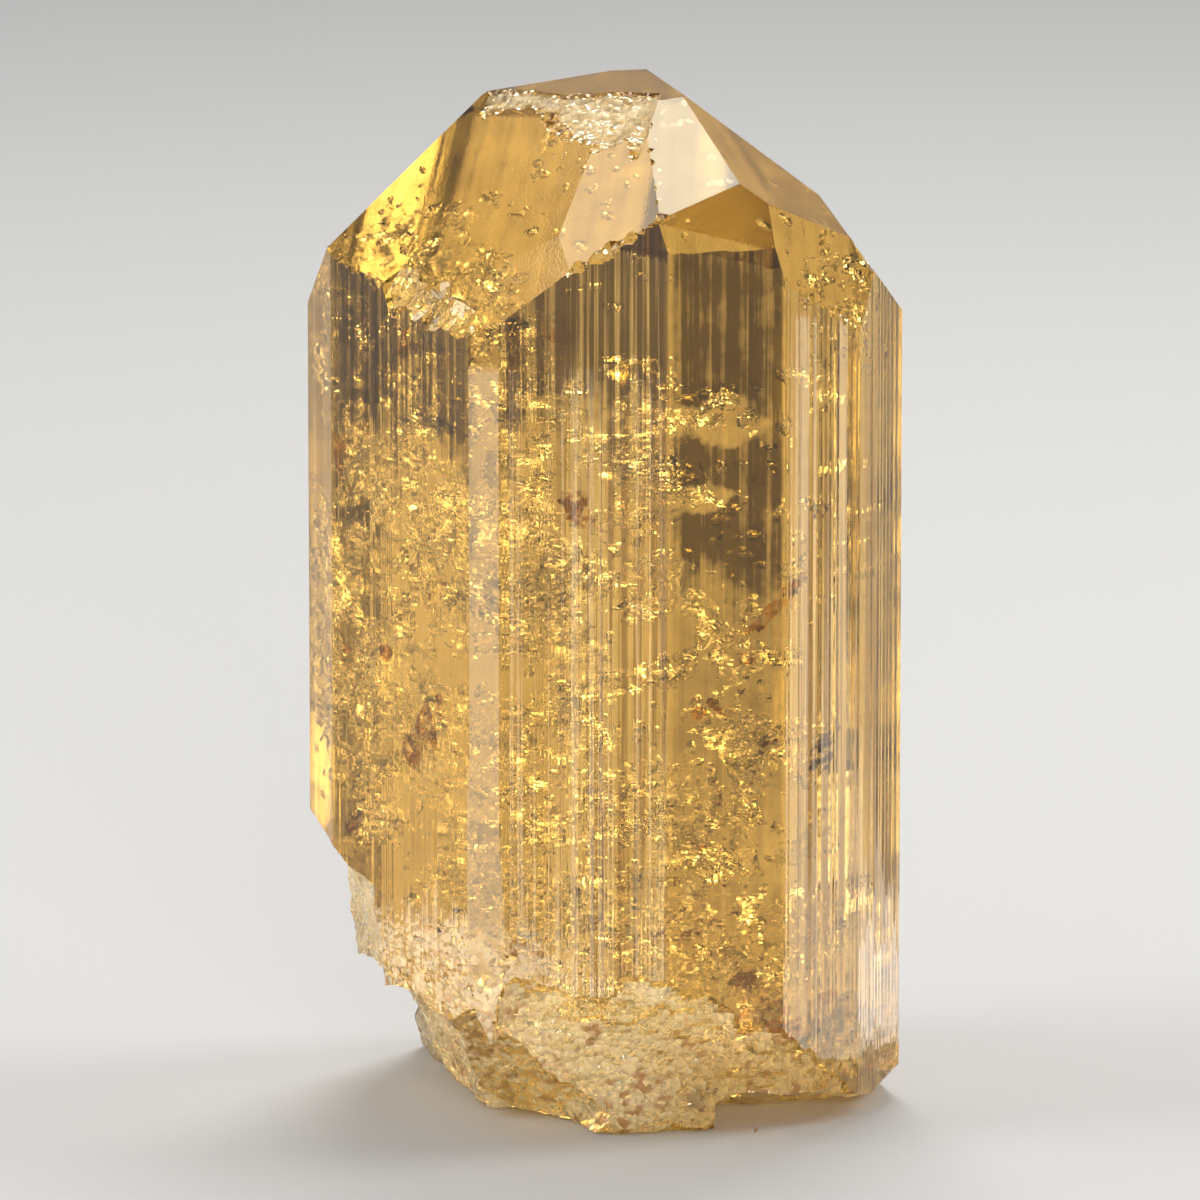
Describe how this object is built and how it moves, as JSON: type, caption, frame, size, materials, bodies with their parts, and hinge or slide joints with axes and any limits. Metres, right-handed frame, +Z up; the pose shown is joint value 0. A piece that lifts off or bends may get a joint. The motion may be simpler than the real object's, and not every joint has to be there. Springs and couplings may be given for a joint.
{
  "type": "topaz crystal",
  "caption": "Single golden topaz prism with grooved sides, a faceted top and a broken foot that it stands on.",
  "frame": {"origin": "centre of the crystal's bounding box in plan, at the level of the cleavage face that it stands on", "axes": "+Z up along the prism (the crystal's c axis), -Y towards the striated front face, +X to the right of that face"},
  "size_m": [0.0266, 0.0222, 0.0466],
  "materials": {
    "golden_topaz": "vitreous, see-through amber with inner cracks and rusty stains"
  },
  "bodies": {
    "root": {"crystal": "golden_topaz"}
  },
  "joints": []
}
